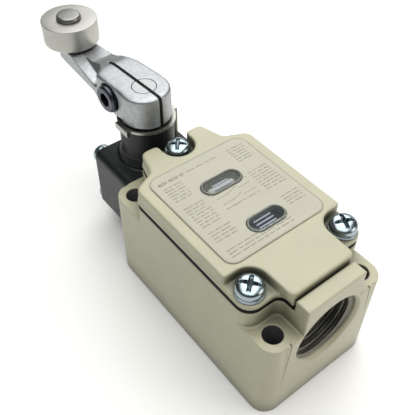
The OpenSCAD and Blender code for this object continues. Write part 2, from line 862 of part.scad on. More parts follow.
// Socket-head bolt across the slit, its head let into the lever's left side
module clamp_bolt() {
    color([0.1, 0.1, 0.11]) on_shaft() translate([0, bolt_s, bolt_z]) rotate([0, -90, 0])
        difference() {
            union() {
                translate([0, 0, -5.8]) cylinder(r = bolt_r, h = bolt_head_t[0] + 6);
                rotate_extrude() polygon([
                    [0, bolt_head_t[0] + 0.02], [bolt_head_r, bolt_head_t[0] + 0.02],
                    [bolt_head_r, bolt_head_t[1] - 0.5], [bolt_head_r - 0.5, bolt_head_t[1]],
                    [0, bolt_head_t[1]]
                ]);
            }
            translate([0, 0, bolt_head_t[1] - 2.6]) cylinder(r = 2.31, h = 3, $fn = 6);
        }
}

module roller_pin() {
    color(steel) on_shaft() translate([0, lever_r, 0]) rotate_extrude() polygon([
        [0, arm_z[0] - 0.9], [2.8, arm_z[0] - 0.9], [3.3, arm_z[0] - 0.4],
        [3.3, arm_z[0] - 0.02], [pin_r, arm_z[0] - 0.02],
        [pin_r, roller_z + roller_w + 0.06], [3.9, roller_z + roller_w + 0.06],
        [3.9, roller_z + roller_w + 0.9], [3.4, roller_z + roller_w + 1.4],
        [0, roller_z + roller_w + 1.5]
    ]);
}

module roller_washer() {
    color([0.12, 0.12, 0.12]) on_shaft() translate([0, lever_r, 0])
        tube(pin_r + 0.03, 5.6, arm_z[2] + 0.02, roller_z - 0.06);
}

module roller() {
    edge = 0.35;
    bore_r = pin_r + fit_gap;
    top = roller_z + roller_w;
    color(steel) on_shaft() translate([0, lever_r, 0]) rotate_extrude() polygon([
        [bore_r, roller_z], [roller_r - edge, roller_z], [roller_r, roller_z + edge],
        [roller_r, top - edge], [roller_r - edge, top], [bore_r, top]
    ]);
}

body_case();
cover();
cover_gasket();
cover_screws();
cover_washers();
name_plate();
lamp_window();
index_window();
lamp_holder();
lamp();
lamp_springs();
index_bars();
switch_base();
switch_lid();
switch_screws();
nc_contacts();
no_contacts();
terminal_washers();
terminal_screws();
ground_screw();
contact_spring();
switch_pin();
contact_bridge();
head_block();
head_gasket();
head_screws();
bearing_cap();
shaft_bushing();
shaft_seal();
indicator_plate();
dust_washer();
plunger_guide();
plunger_seal();
return_spring();
operating_plunger();
rotary_shaft();
cam();
retaining_ring();
lever_arm();
clamp_bolt();
roller_pin();
roller_washer();
roller();
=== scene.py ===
"""Looks for a limit switch with a roller lever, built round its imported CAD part."""

import json
import math
import random

import bmesh
import bpy
from mathutils import Matrix, Vector
from mathutils.bvhtree import BVHTree

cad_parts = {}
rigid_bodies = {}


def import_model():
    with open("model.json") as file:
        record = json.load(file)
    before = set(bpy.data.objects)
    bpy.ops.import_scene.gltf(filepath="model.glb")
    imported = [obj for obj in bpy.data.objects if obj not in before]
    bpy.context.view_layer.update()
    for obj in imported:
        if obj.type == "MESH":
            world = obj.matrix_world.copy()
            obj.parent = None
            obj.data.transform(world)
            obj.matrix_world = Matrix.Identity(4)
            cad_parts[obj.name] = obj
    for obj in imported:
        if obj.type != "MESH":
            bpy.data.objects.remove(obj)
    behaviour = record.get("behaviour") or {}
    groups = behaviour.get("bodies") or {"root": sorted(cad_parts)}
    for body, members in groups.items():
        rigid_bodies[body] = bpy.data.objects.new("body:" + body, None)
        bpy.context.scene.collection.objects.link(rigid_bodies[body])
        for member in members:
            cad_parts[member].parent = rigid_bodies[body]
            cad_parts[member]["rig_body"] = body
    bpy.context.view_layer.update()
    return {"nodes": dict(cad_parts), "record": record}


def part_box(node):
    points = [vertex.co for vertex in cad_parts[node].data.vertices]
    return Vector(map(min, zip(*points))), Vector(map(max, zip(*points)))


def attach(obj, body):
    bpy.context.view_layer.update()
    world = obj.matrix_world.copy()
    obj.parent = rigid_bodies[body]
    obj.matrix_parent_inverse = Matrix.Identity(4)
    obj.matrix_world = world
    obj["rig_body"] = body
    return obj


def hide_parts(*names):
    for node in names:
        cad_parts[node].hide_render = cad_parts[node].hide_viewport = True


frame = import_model()
nodes = frame["nodes"]
MM = 0.001


# ------------------------------------------------------------- materials

def shader(name, base, metallic=0.0, roughness=0.5, **values):
    """A new node material and its Principled node, with uniform values set on its sockets."""
    material = bpy.data.materials.new(name)
    material.use_nodes = True
    principled = material.node_tree.nodes["Principled BSDF"]
    principled.inputs["Base Color"].default_value = (*base, 1)
    principled.inputs["Metallic"].default_value = metallic
    principled.inputs["Roughness"].default_value = roughness
    for socket, value in values.items():
        principled.inputs[socket.replace("_", " ")].default_value = value
    return material, principled


def add(material, kind, **values):
    """Adds a node, and sets each value on its socket of that name or on the node itself."""
    node = material.node_tree.nodes.new("ShaderNode" + kind)
    for key, value in values.items():
        if hasattr(node, key):
            setattr(node, key, value)
        else:
            node.inputs[key.replace("_", " ")].default_value = value
    return node


def link(material, out, into):
    material.node_tree.links.new(out, into)


def noise(material, size, detail=3.0):
    """Noise whose grains are about size metres across, over the object's own coordinates."""
    place = add(material, "TexCoord")
    texture = add(material, "TexNoise", Scale=1 / size, Detail=detail)
    link(material, place.outputs["Object"], texture.inputs["Vector"])
    return texture.outputs["Fac"]


def spread(material, value, low, high, start=0.3, end=0.7):
    """Maps a value from start..end onto low..high."""
    ranged = add(material, "MapRange")
    for socket, number in zip(("From Min", "From Max", "To Min", "To Max"), (start, end, low, high)):
        ranged.inputs[socket].default_value = number
    link(material, value, ranged.inputs["Value"])
    return ranged.outputs["Result"]


def tint(material, principled, value, dark, light):
    """Base colour that runs from dark to light with value."""
    ramp = add(material, "ValToRGB")
    ramp.color_ramp.elements[0].color = (*dark, 1)
    ramp.color_ramp.elements[1].color = (*light, 1)
    link(material, value, ramp.inputs["Fac"])
    link(material, ramp.outputs["Color"], principled.inputs["Base Color"])


def bump(material, principled, height, depth, strength=1.0):
    """Tilts the surface as if height stood up to depth metres out of it."""
    lumps = add(material, "Bump", Strength=strength, Distance=depth)
    link(material, height, lumps.inputs["Height"])
    link(material, lumps.outputs["Normal"], principled.inputs["Normal"])


def scaled(colour, k):
    return tuple(min(1, c * k) for c in colour)


def painted_crevice_shade(material, principled, shade_reach, darkest):
    """Paints shade into the base colour where other surfaces stand closer than the given reach, from an
    ambient occlusion node.
    """
    closeness = add(material, "AmbientOcclusion", samples=8, Distance=shade_reach)
    shade = add(material, "Mix", data_type="RGBA", blend_type="MULTIPLY")
    shade.inputs["Factor"].default_value = 1
    socket = principled.inputs["Base Color"]
    link(material, socket.links[0].from_socket, shade.inputs["A"])
    level = spread(material, closeness.outputs["AO"], darkest, 1, 0.2, 0.9)
    link(material, level, shade.inputs["B"])
    link(material, shade.outputs["Result"], socket)


def mottled(material, principled, base, patch, shift):
    """Base colour that drifts by the part shift of itself, in patches about patch across."""
    tint(material, principled, spread(material, noise(material, patch), 0, 1),
         scaled(base, 1 - shift), scaled(base, 1 + shift))


def painted(name, base, roughness, peel, depth, shift=0.03, shade_reach=0, **values):
    """Paint with fine orange peel, and painted shade that darkens it where other surfaces stand closer than
    the given reach.
    """
    material, principled = shader(name, base, roughness=roughness, **values)
    mottled(material, principled, base, 9 * MM, shift)
    if shade_reach:
        painted_crevice_shade(material, principled, shade_reach, 0.12)
    link(material, spread(material, noise(material, 2 * MM), roughness - 0.05, roughness + 0.05),
         principled.inputs["Roughness"])
    bump(material, principled, noise(material, peel, 2), depth)
    return material


def metal(name, base, roughness, grain, depth, shift=0.03, patch=5 * MM, shade_reach=0, darkest=0.1, **values):
    """Metal with a fine surface grain, and painted shade that darkens it where other surfaces stand closer
    than the given reach.
    """
    material, principled = shader(name, base, metallic=1, roughness=roughness, **values)
    mottled(material, principled, base, patch, shift)
    if shade_reach:
        painted_crevice_shade(material, principled, shade_reach, darkest)
    link(material, spread(material, noise(material, 3 * grain, 2), roughness - 0.04, roughness + 0.04),
         principled.inputs["Roughness"])
    bump(material, principled, noise(material, grain, 2), depth)
    return material


def plastic(name, base, roughness, **values):
    """Moulded plastic or rubber with a faint spark-eroded texture."""
    material, principled = shader(name, base, roughness=roughness, **values)
    mottled(material, principled, base, 4 * MM, 0.07)
    bump(material, principled, noise(material, 0.6 * MM, 2), 0.004 * MM)
    return material


def clear(name, base, roughness, alpha, **values):
    """Clear plastic or glass that hides the part alpha of what lies behind it."""
    material, principled = shader(name, base, roughness=roughness, Alpha=alpha, IOR=1.5, **values)
    bump(material, principled, noise(material, 3 * MM, 1), 0.01 * MM, 0.3)
    return material


# Looks given a reach have painted shade in their crevices: case paint, zinc plating, pressed plate and black
# oxide.
LOOKS = {
    "case_paint": painted("case_paint", (0.428, 0.418, 0.288), 0.33, 0.5 * MM, 0.020 * MM, shade_reach=9 * MM),
    "label": painted("label_plate", (0.415, 0.400, 0.315), 0.36, 0.8 * MM, 0.003 * MM),
    "rubber": plastic("black_rubber", (0.006, 0.007, 0.006), 0.7, Specular_IOR_Level=0.15),
    "zinc_plate": metal("zinc_plating", (0.36, 0.43, 0.46), 0.27, 0.8 * MM, 0.001 * MM,
                        shade_reach=1.3 * MM, darkest=0.4),
    "clear_lens": clear("clear_polycarbonate", (0.80, 0.86, 0.80), 0.06, 0.32),
    "dark_moulding": plastic("dark_moulding", (0.025, 0.028, 0.028), 0.4),
    "lamp_glass": clear("lamp_glass", (0.9, 0.9, 0.88), 0.1, 0.5),
    "spring_steel": metal("spring_wire", (0.6, 0.6, 0.58), 0.25, 0.3 * MM, 0.002 * MM),
    "pin_steel": metal("drawn_pin_steel", (0.30, 0.30, 0.285), 0.4, 1 * MM, 0.002 * MM),
    # The pale colour on this clear rim paints the index window's highlight.
    "rim_with_painted_highlight": clear("window_rim_painted_highlight", (0.46, 0.52, 0.47), 0.15, 0.32),
    "clear_pane": clear("clear_window_pane", (0.05, 0.07, 0.09), 0.05, 0.06, Specular_IOR_Level=0.1),
    "smoked_rim": clear("smoked_window_rim", (0.27, 0.28, 0.25), 0.15, 0.62),
    "smoked_pane": clear("smoked_window_pane", (0.30, 0.34, 0.29), 0.08, 0.1, Specular_IOR_Level=0.2),
    "white_print": plastic("white_print", (0.42, 0.47, 0.56), 0.4),
    "label_ink": plastic("label_ink", (0.378, 0.365, 0.288), 0.4),
    "brass": metal("stamped_brass", (0.75, 0.55, 0.22), 0.3, 0.5 * MM, 0.004 * MM),
    "bronze": metal("sintered_bronze", (0.50, 0.34, 0.18), 0.45, 0.3 * MM, 0.008 * MM),
    "black_cast": painted("black_casting", (0.008, 0.0105, 0.0105), 0.42, 0.5 * MM, 0.012 * MM, 0.15,
                          Specular_IOR_Level=0.36),
    "plate_steel": metal("pressed_plate", (0.40, 0.395, 0.36), 0.3, 0.5 * MM, 0.002 * MM, shade_reach=2.5 * MM),
    "steel": metal("ground_steel", (0.38, 0.39, 0.39), 0.42, 0.4 * MM, 0.003 * MM),
    "red_moulding": plastic("red_moulding", (0.42, 0.03, 0.02), 0.35),
    # Near-black; in the mounting-hole sleeves it paints the shade deep inside the holes.
    "dark_bore": plastic("dark_bore", (0.012, 0.011, 0.014), 0.6),
    # Unpainted metal of the conduit thread, its dark colour painted shade inside the bore.
    "shaded_bare_casting": metal("shaded_bare_casting", (0.20, 0.195, 0.165), 0.48, 0.3 * MM, 0.004 * MM),
    "cast_alloy": metal("tumbled_alloy", (0.40, 0.415, 0.425), 0.46, 0.35 * MM, 0.022 * MM,
                        shift=0.12, patch=1.1 * MM),
    "black_oxide": metal("black_oxide", (0.085, 0.09, 0.11), 0.33, 0.4 * MM, 0.002 * MM, shade_reach=2 * MM),
    "roller_steel": metal("satin_sintered_steel", (0.47, 0.465, 0.43), 0.41, 2 * MM, 0.001 * MM),
}


def dress(piece, look):
    """Gives a piece one of the looks."""
    piece.data.materials.clear()
    piece.data.materials.append(LOOKS[look])
    for face in piece.data.polygons:
        face.use_smooth = True


# ------------------------------------------------------------- mesh tools

def as_object(name, mesh):
    """An object made from a finished bmesh, not yet in the scene."""
    bmesh.ops.recalc_face_normals(mesh, faces=mesh.faces)
    data = bpy.data.meshes.new(name)
    mesh.to_mesh(data)
    mesh.free()
    return bpy.data.objects.new(name, data)


def piece(name, mesh, body, slot, *stands_for, look=None):
    """Shows a finished bmesh as a piece that rides on a body, in place of the CAD nodes named.

    It has the look of its material slot, unless another is named.
    """
    return show(as_object(name, mesh), body, slot, *stands_for, look=look)


def show(thing, body, slot, *stands_for, look=None):
    bpy.context.scene.collection.objects.link(thing)
    dress(thing, look or slot)
    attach(thing, body)
    if stands_for:
        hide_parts(*stands_for)
    return thing


def crisp(thing, angle=30):
    """Keeps edges sharper than angle sharp in an otherwise smooth piece."""
    thing.data.set_sharp_from_angle(angle=math.radians(angle))
    return thing


def lathe(mesh, profile, place=Matrix(), steps=96):
    """Adds to mesh a closed turning of [radius, height] points about the place's Z axis."""
    rings = []
    for radius, height in profile:
        if radius < 1e-7:
            rings.append([mesh.verts.new(place @ Vector((0, 0, height)))])
        else:
            rings.append([mesh.verts.new(place @ Vector((
                radius * math.cos(math.tau * i / steps), radius * math.sin(math.tau * i / steps), height)))
                for i in range(steps)])
    for low, high in zip(rings, rings[1:] + rings[:1]):
        if len(low) == len(high) == 1:
            continue
        for i in range(steps):
            j = (i + 1) % steps
            corners = [low[i % len(low)], low[j % len(low)], high[j % len(high)], high[i % len(high)]]
            mesh.faces.new(list(dict.fromkeys(corners)))


def rounded_profile(points, steps=5):
    """Profile through [radius, height, rounding] points, each corner turned to its rounding."""
    out = []
    for i, (r, h, rounding) in enumerate(points):
        here = Vector((r, h))
        if not rounding:
            out.append((r, h))
            continue
        before = Vector(points[i - 1][:2]) - here
        after = Vector(points[(i + 1) % len(points)][:2]) - here
        start, end = here + before.normalized() * rounding, here + after.normalized() * rounding
        for k in range(steps + 1):
            t = k / steps
            out.append(tuple(start * (1 - t) ** 2 + here * 2 * t * (1 - t) + end * t ** 2))
    return out


def prism(mesh, outline, depth):
    """Adds to mesh a closed prism from an outline of points, swept by the vector depth."""
    near = [mesh.verts.new(p) for p in outline]
    far = [mesh.verts.new(p + depth) for p in outline]
    mesh.faces.new(near)
    mesh.faces.new(far[::-1])
    for i in range(len(near)):
        j = (i + 1) % len(near)
        mesh.faces.new((near[j], near[i], far[i], far[j]))


def stadium_loop(mesh, middle, length, width, height, steps=14):
    """Adds a ring of points round a stadium that lies along X."""
    radius = width / 2
    return [mesh.verts.new((middle.x + side * (length - width) / 2 + radius * math.cos(math.radians(turn)),
                            middle.y + radius * math.sin(math.radians(turn)), height))
            for side, first in ((1, -90), (-1, 90))
            for turn in (first + 180 * i / steps for i in range(steps + 1))]


def stadium_shell(mesh, middle, length, width, profile, hollow=True):
    """Adds a shell through stadiums that lie (inset, height) inside a length by width stadium.

    A hollow shell's last loop joins its first, and a solid one is closed by a face at each end.
    """
    loops = [stadium_loop(mesh, middle, length - 2 * inset, width - 2 * inset, height)
             for inset, height in profile]
    for near, far in zip(loops, loops[1:] + (loops[:1] if hollow else [])):
        for i in range(len(near)):
            j = (i + 1) % len(near)
            mesh.faces.new((near[i], near[j], far[j], far[i]))
    if not hollow:
        mesh.faces.new(loops[0][::-1])
        mesh.faces.new(loops[-1])


def smooth_step(t):
    """Rises from 0 to 1 as t does, level at both ends."""
    t = min(1, max(0, t))
    return t * t * (3 - 2 * t)


def cut(thing, cutter):
    """Takes the closed mesh cutter out of a finished piece."""
    tool = as_object("cutter", cutter)
    bpy.context.scene.collection.objects.link(tool)
    boolean = thing.modifiers.new("cut", "BOOLEAN")
    boolean.object = tool
    boolean.solver = "MANIFOLD"
    bake_modifiers(thing)
    bpy.data.objects.remove(tool)


def casting(node, voxel, passes, extra=None, worn=None, worn_passes=0):
    """A copy of a CAD node with every edge worn round, as a casting comes from its mould.

    extra is a closed mesh that is melted into it first. worn gives for each point how much of
    worn_passes it takes besides.
    """
    source = nodes[node]
    blank = bmesh.new()
    blank.from_mesh(source.data)
    bmesh.ops.remove_doubles(blank, verts=blank.verts, dist=0.001 * MM)
    if extra:
        lump = bpy.data.meshes.new("lump")
        extra.to_mesh(lump)
        extra.free()
        blank.from_mesh(lump)
    thing = as_object(node + "_casting", blank)
    bpy.context.scene.collection.objects.link(thing)
    skin = thing.modifiers.new("skin", "REMESH")
    skin.mode = "VOXEL"
    skin.voxel_size = voxel
    wear(thing, passes)
    if worn:
        group = thing.vertex_groups.new(name="worn")
        for vertex in thing.data.vertices:
            group.add([vertex.index], worn(vertex.co), "REPLACE")
        wear(thing, worn_passes, "worn")
    bpy.context.scene.collection.objects.unlink(thing)
    return show(thing, source["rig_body"], slot_of[node], node)


def wear(thing, passes, group=""):
    """Smooths a piece, where the vertex group says if one is named, and bakes its modifiers."""
    smooth = thing.modifiers.new("wear", "SMOOTH")
    smooth.factor = 0.5
    smooth.iterations = passes
    smooth.vertex_group = group
    bake_modifiers(thing)


def bake_modifiers(thing):
    """Makes what a piece's modifiers give its own mesh, and drops the modifiers."""
    bpy.context.view_layer.update()
    done = bpy.data.meshes.new_from_object(thing.evaluated_get(bpy.context.evaluated_depsgraph_get()))
    thing.modifiers.clear()
    thing.vertex_groups.clear()
    thing.data = done


def centre(node):
    """The middle of a CAD node's box."""
    low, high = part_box(node)
    return (low + high) / 2


# --------------------------------------------------------------- the case

slot_of = {entry["node"]: entry["material_slot"] for entry in frame["record"]["subparts"]}
for name, node in nodes.items():
    dress(node, slot_of[name])
dress(nodes["lamp_holder"], "dark_bore")

mounts = {mount["name"]: mount for mount in frame["record"]["mounts"]}
case_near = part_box("body_case")[0].y
EAR_TOP = 30.7 * MM


def seam_cutter():
    """A thin wedge at each side of the conduit end, where the mould's halves met."""
    seam_x, lean, foot, half_w, over, depth = 13.5 * MM, 1.6 * MM, 10 * MM, 0.2 * MM, 1 * MM, 1.1 * MM
    cutter = bmesh.new()
    for side in (-1, 1):
        x = side * seam_x
        wedge = [(x - half_w, EAR_TOP + over), (x + half_w, EAR_TOP + over), (x + side * lean, foot)]
        prism(cutter, [Vector((x, case_near - 0.3 * MM, z)) for x, z in wedge], Vector((0, depth, 0)))
    return cutter


def hole_shade_sleeves():
    """A thin near-black sleeve inside each of the four mounting holes, painting the shade deep inside them.
    """
    holes = mounts["mounting_holes"]["dims"]
    r, wall, inside, end = holes["hole_r_mm"] * MM, 0.1 * MM, 0.04 * MM, 0.4 * MM
    mesh = bmesh.new()
    for side in (-1, 1):
        for way in (-1, 1):
            place = Matrix.Translation((side * holes["spacing_x_mm"] * MM / 2,
                                        way * holes["spacing_y_mm"] * MM / 2, 0))
            lathe(mesh, [(r + wall, end), (r - inside, end), (r - inside, EAR_TOP - end),
                         (r + wall, EAR_TOP - end)], place)
    piece("hole_shade_sleeves", mesh, "case", "black_cast", look="dark_bore")


def conduit_thread():
    """A sleeve in the conduit whose bore is a helix of rounded ridges, fading out at both ends. Its bare
    metal is coloured dark, which paints the shade inside the bore.
    """
    pitch, ridge, wall = 1.814 * MM, 1.16 * MM, 0.3 * MM
    turns, per_turn, around = 4, 18, 144
    bore_r, bore_z = mounts["conduit_entry"]["dims"]["r_mm"] * MM, mounts["conduit_entry"]["pos_m"][2]
    start = case_near + 1.3 * MM
    angles = [math.tau * i / around for i in range(around)]
    mesh = bmesh.new()
    rings = []
    for k in range(turns * per_turn + 1):
        fade = smooth_step(2 * min(k, turns * per_turn - k) / per_turn)
        ring = []
        for angle in angles:
            r = bore_r - 0.02 * MM - ridge * fade * (0.5 - 0.5 * math.cos(math.tau * k / per_turn - angle))
            ring.append(mesh.verts.new((r * math.cos(angle), start + k * pitch / per_turn,
                                        bore_z + r * math.sin(angle))))
        rings.append(ring)
    outer_r = bore_r + wall
    for along in (turns * pitch, 0):
        rings.append([mesh.verts.new((outer_r * math.cos(angle), start + along,
                                      bore_z + outer_r * math.sin(angle))) for angle in angles])
    for near, far in zip(rings, rings[1:] + rings[:1]):
        for i in range(around):
            j = (i + 1) % around
            mesh.faces.new((near[i], near[j], far[j], far[i]))
    piece("conduit_thread", mesh, "case", "case_paint", look="shaded_bare_casting")


case = casting("body_case", 0.26 * MM, 2)
cut(case, seam_cutter())
dress(case, "case_paint")
hole_shade_sleeves()
casting("cover", 0.26 * MM, 16)
casting("head_block", 0.30 * MM, 8)
conduit_thread()


# ------------------------------------------------- windows and what they show

def window(node, rim, pane):
    """A lip under the cover, a rim that stands proud of it and a thin pane inside the rim."""
    lip, lip_t, rim_wall, gap = 2.2 * MM, 1 * MM, 0.6 * MM, 0.02 * MM
    low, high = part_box(node)
    middle, size, under, top = (low + high) / 2, high - low, low.z + lip_t, high.z
    length, width = size.x - lip, size.y - lip
    mesh = bmesh.new()
    stadium_shell(mesh, middle, length, width, rounded_profile([
        (0, under, 0), (0, top, 0.45 * MM), (rim_wall, top, 0.25 * MM), (rim_wall, under, 0)]))
    stadium_shell(mesh, middle, size.x, size.y, [
        (0, low.z), (0, under - gap), (lip, under - gap), (lip, low.z)])
    crisp(piece(node + "_rim", mesh, "case", "clear_lens", node, look=rim), 50)
    mesh = bmesh.new()
    inside = rim_wall + gap
    stadium_shell(mesh, middle, length, width, [
        (inside, top - 0.65 * MM), (inside, top - 0.45 * MM), (inside + 0.5 * MM, top - 0.3 * MM)],
        hollow=False)
    crisp(piece(node + "_pane", mesh, "case", "clear_lens", look=pane), 50)


def lamp_electrodes():
    """Two round-ended rods along the top of the lamp's glass."""
    rod_r, rod_l, apart = 0.28 * MM, 5.2 * MM, 0.75 * MM
    low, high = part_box("lamp")
    middle = (low + high) / 2
    profile = rounded_profile([(0, 0, 0), (rod_r, 0, 0.08 * MM), (rod_r, rod_l, 0.08 * MM), (0, rod_l, 0)])
    mesh = bmesh.new()
    for side in (-1, 1):
        place = Matrix.Translation((middle.x - rod_l / 2, middle.y + side * apart, high.z))
        lathe(mesh, profile, place @ Matrix.Rotation(math.radians(90), 4, "Y"), 16)
    piece("lamp_electrodes", mesh, "case", "lamp_glass", look="white_print")


def round_ended_bars():
    """The three bars in the other window, moulded with round ends."""
    bar_w, bar_l, edge = 0.5 * MM, 5.8 * MM, 0.08 * MM
    low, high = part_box("index_bars")
    pitch = (high.y - low.y - bar_w) / 2
    mesh = bmesh.new()
    for row in (-1, 0, 1):
        middle = Vector(((low.x + high.x) / 2, (low.y + high.y) / 2 + row * pitch, 0))
        stadium_shell(mesh, middle, bar_l, bar_w,
                      [(0, low.z), (0, high.z - edge), (edge, high.z)], hollow=False)
    piece("round_ended_bars", mesh, "case", "white_print", "index_bars")


window("lamp_window", "smoked_rim", "smoked_pane")
window("index_window", "rim_with_painted_highlight", "clear_pane")
lamp_electrodes()
round_ended_bars()


# ---------------------------------------------------------------- name plate

plate_low, plate_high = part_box("name_plate")
plate_mid = (plate_low + plate_high) / 2


def bar(mesh, start, end, width, thickness=0.02 * MM):
    """Adds a flat mark with rounded ends between two places on the plate, from its middle."""
    start, end = Vector((*start, 0)), Vector((*end, 0))
    along = (end - start).normalized()
    outline = []
    for tip, turn in ((end, -90), (start, 90)):
        for i in range(5):
            outline.append(tip + Matrix.Rotation(math.radians(turn + 45 * i), 3, "Z") @ along * width / 2)
    prism(mesh, [p + Vector((plate_mid.x, plate_mid.y, plate_high.z)) for p in outline],
          Vector((0, 0, thickness)))


def dashes(mesh, dice, left, right, row, height):
    """Adds a row of marks of uneven lengths."""
    x = left
    while x < right:
        length = dice.uniform(0.8, 2.6) * MM
        bar(mesh, (x, row), (min(x + length, right), row), height)
        x += length + 0.55 * MM + height


def plate_print():
    """A row of large marks, blocks of small ones and a plain contact symbol."""
    dice = random.Random(5)
    large, small, line_w, row_pitch = 0.9 * MM, 0.32 * MM, 0.2 * MM, 1.1
    mesh = bmesh.new()
    dashes(mesh, dice, -14 * MM, -6.5 * MM, 14.6 * MM, large)
    # Each block in mm: left, right, its first row and how many rows
    for left, right, first, rows in (
            (-14, -8.5, 12.6, 6), (-5, 5, 14.6, 1), (9, 14.5, 14.6, 6), (-14, -8, 3.6, 8), (-6, 7, 3.6, 1),
            (-5, 6, -2.9, 1), (-14, 6, -13.6, 3), (8, 14.5, 4, 8), (-14, -7.5, -6.6, 4), (9, 14.5, -8, 4)):
        for row in range(rows):
            dashes(mesh, dice, left * MM, right * MM, (first - row_pitch * row) * MM, small)
    for y in (1.4 * MM, -1.2 * MM):
        for start, end in (((-5, 0), (-1.5, 0)), ((-1.5, 0), (2.0, 0.9)), ((2.2, 0), (6.0, 0))):
            bar(mesh, (start[0] * MM, y + start[1] * MM), (end[0] * MM, y + end[1] * MM), line_w)
    piece("plate_print", mesh, "case", "label", look="label_ink")


def plate_edge_shade_line():
    """A fine dark line round the plate's edge: partly a printed border, partly painted shade where the
    plate's edge meets the cover.
    """
    size = plate_high - plate_low
    corner_r, steps = 3, range(0, 91, 10)
    mesh = bmesh.new()
    loops = []
    for grow in (0.12, -0.22):
        half_x, half_y, corner = size.x / 2 + grow * MM, size.y / 2 + grow * MM, (corner_r + grow) * MM
        loops.append([mesh.verts.new(plate_mid + Vector((
            sx * (half_x - corner) + corner * math.cos(math.radians(first + step)),
            sy * (half_y - corner) + corner * math.sin(math.radians(first + step)), size.z / 2 + 0.01 * MM)))
            for sx, sy, first in ((1, 1, 0), (-1, 1, 90), (-1, -1, 180), (1, -1, 270)) for step in steps])
    outer, inner = loops
    for i in range(len(outer)):
        j = (i + 1) % len(outer)
        mesh.faces.new((outer[i], outer[j], inner[j], inner[i]))
    foot = bmesh.ops.extrude_face_region(mesh, geom=mesh.faces[:])
    bmesh.ops.translate(mesh, vec=(0, 0, -size.z),
                        verts=[v for v in foot["geom"] if isinstance(v, bmesh.types.BMVert)])
    piece("plate_edge_shade_line", mesh, "case", "label", look="label_ink")


plate_print()
plate_edge_shade_line()


# --------------------------------------------------------------------- lever

shaft_at = centre("rotary_shaft")
roller_at = centre("roller")
lever_along = Vector((roller_at.x - shaft_at.x, roller_at.y - shaft_at.y, 0)).normalized()
lever_across = Vector((lever_along.y, -lever_along.x, 0))
lever_low, lever_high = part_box("lever_arm")
shaft_r = 3.65 * MM
slit_w = 1.1 * MM
slit_start = -7.6 * MM
slit_end = 17.6 * MM - slit_w / 2
CUT_LOW, CUT_HIGH = 30 * MM, 70 * MM


def on_lever(along, across, height):
    """The point so far along the lever from the shaft, so far across it, at that height."""
    flat = shaft_at + lever_along * along + lever_across * across
    return Vector((flat.x, flat.y, height))


def surface_heights(tree, point):
    """Where an upright line through point enters and leaves a solid, or None."""
    above = tree.ray_cast(Vector((point.x, point.y, 1)), Vector((0, 0, -1)))[0]
    below = tree.ray_cast(Vector((point.x, point.y, -1)), Vector((0, 0, 1)))[0]
    return (below.z, above.z) if above else None


def lever_plug():
    """Fills the lever's slit and shaft bore, so that both can be cut again with clean edges."""
    steps, half, past_end = 60, 0.62 * MM, 0.5 * MM
    plug_r = shaft_r + 0.5 * MM
    data = nodes["lever_arm"].data
    tree = BVHTree.FromPolygons([v.co for v in data.vertices], [f.vertices for f in data.polygons])
    plug = bmesh.new()
    low, high = [], []
    for i in range(steps + 1):
        along = slit_start + (slit_end + past_end - slit_start) * i / steps
        found = [surface_heights(tree, on_lever(along, side * off, 0))
                 for side in (-1, 1) for off in (0.75 * MM, plug_r)]
        found = [pair for pair in found if pair]
        low.append(on_lever(along, -half, min(pair[0] for pair in found)))
        high.append(on_lever(along, -half, max(pair[1] for pair in found)))
    prism(plug, low + high[::-1], lever_across * 2 * half)
    lathe(plug, [(0, lever_low.z), (plug_r, lever_low.z), (plug_r, lever_high.z), (0, lever_high.z)],
          Matrix.Translation((shaft_at.x, shaft_at.y, 0)), 64)
    return plug


def slit_cutter():
    """The clamping slit: open at the hub's end and round at the other."""
    half, over, steps = slit_w / 2, 3 * MM, 8
    outline = [on_lever(slit_start - over, side * half, CUT_LOW) for side in (-1, 1)]
    for i in range(steps + 1):
        turn = math.pi * i / steps
        outline.append(on_lever(slit_end + half * math.sin(turn), half * math.cos(turn), CUT_LOW))
    cutter = bmesh.new()
    prism(cutter, outline, Vector((0, 0, CUT_HIGH - CUT_LOW)))
    return cutter


def bore_cutter():
    """The bore that holds the shaft."""
    r = shaft_r + 0.06 * MM
    cutter = bmesh.new()
    lathe(cutter, [(0, CUT_LOW), (r, CUT_LOW), (r, CUT_HIGH), (0, CUT_HIGH)],
          Matrix.Translation((shaft_at.x, shaft_at.y, 0)), 64)
    return cutter


def hub_wear(point):
    """The hub is worn rounder than the arm."""
    along = (point - shaft_at).dot(lever_along)
    return smooth_step((19 * MM - along) / (6 * MM)) * smooth_step((point.z - 46 * MM) / (2 * MM))


lever = casting("lever_arm", 0.17 * MM, 10, lever_plug(), hub_wear, 260)
cut(lever, slit_cutter())
cut(lever, bore_cutter())
dress(lever, "cast_alloy")
crisp(lever, 40)


# ----------------------------------------------- roller, its pin and its washer

